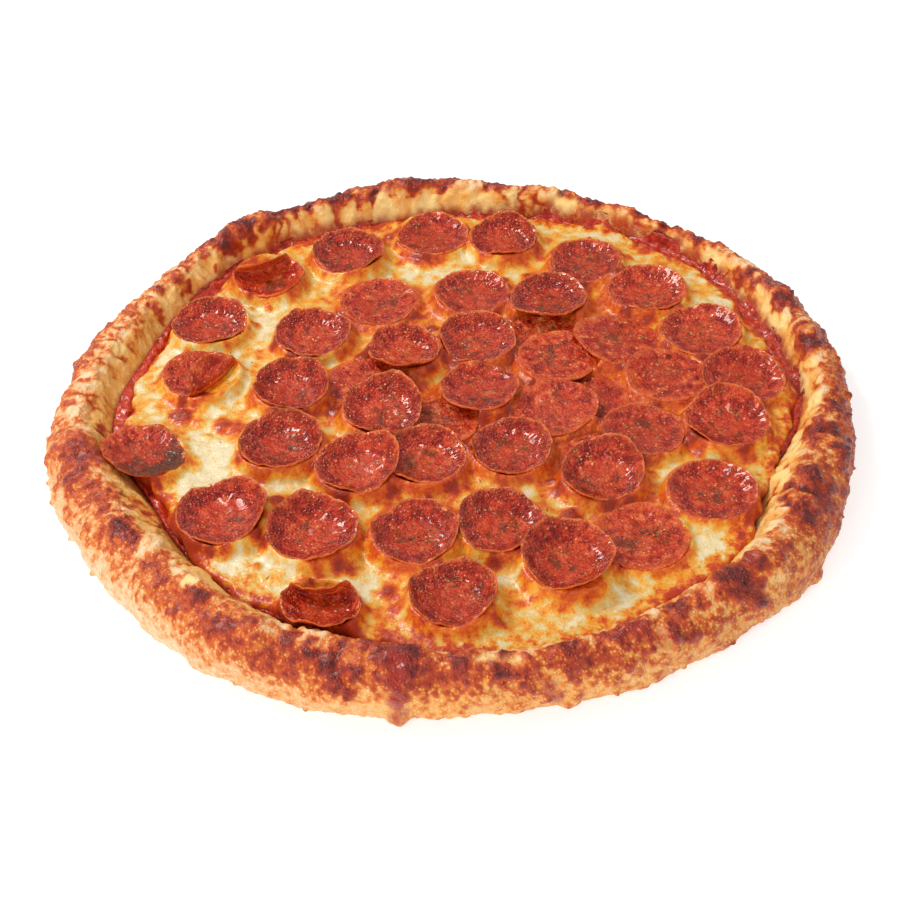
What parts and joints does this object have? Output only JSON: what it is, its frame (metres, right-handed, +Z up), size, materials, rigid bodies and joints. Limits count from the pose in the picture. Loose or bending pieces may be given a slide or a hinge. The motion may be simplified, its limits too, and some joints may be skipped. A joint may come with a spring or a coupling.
{
  "type": "whole pepperoni pizza",
  "caption": "Round baked pizza with a puffed, browned rim, tomato sauce, melted cheese and curled pepperoni slices, whole and uncut.",
  "frame": {"origin": "middle of the flat underside", "axes": "+Z up through the pie, -Y towards the side nearest the viewer in the picture"},
  "size_m": [0.3571, 0.3555, 0.03],
  "materials": {
    "baked_crust": "golden to dark brown baked dough, fine blisters, slightly oily on top",
    "tomato_sauce": "wet, deep red cooked tomato sauce",
    "melted_cheese": "creamy melted cheese with orange oil and browned spots",
    "pepperoni": "oily, mottled red cured sausage with crisp darker edges"
  },
  "bodies": {
    "root": {"crust": "baked_crust", "sauce": "tomato_sauce", "cheese": "melted_cheese", "pepperoni_01": "pepperoni", "pepperoni_02": "pepperoni", "pepperoni_03": "pepperoni", "pepperoni_04": "pepperoni", "pepperoni_05": "pepperoni", "pepperoni_06": "pepperoni", "pepperoni_07": "pepperoni", "pepperoni_08": "pepperoni", "pepperoni_09": "pepperoni", "pepperoni_10": "pepperoni", "pepperoni_11": "pepperoni", "pepperoni_12": "pepperoni", "pepperoni_13": "pepperoni", "pepperoni_14": "pepperoni", "pepperoni_15": "pepperoni", "pepperoni_16": "pepperoni", "pepperoni_17": "pepperoni", "pepperoni_18": "pepperoni", "pepperoni_19": "pepperoni", "pepperoni_20": "pepperoni", "pepperoni_21": "pepperoni", "pepperoni_22": "pepperoni", "pepperoni_23": "pepperoni", "pepperoni_24": "pepperoni", "pepperoni_25": "pepperoni", "pepperoni_26": "pepperoni", "pepperoni_27": "pepperoni", "pepperoni_28": "pepperoni", "pepperoni_29": "pepperoni", "pepperoni_30": "pepperoni", "pepperoni_31": "pepperoni", "pepperoni_32": "pepperoni", "pepperoni_33": "pepperoni", "pepperoni_34": "pepperoni", "pepperoni_35": "pepperoni", "pepperoni_36": "pepperoni", "pepperoni_37": "pepperoni", "pepperoni_38": "pepperoni", "pepperoni_39": "pepperoni", "pepperoni_40": "pepperoni", "pepperoni_41": "pepperoni", "pepperoni_42": "pepperoni", "pepperoni_43": "pepperoni", "pepperoni_44": "pepperoni", "pepperoni_45": "pepperoni"}
  },
  "joints": []
}
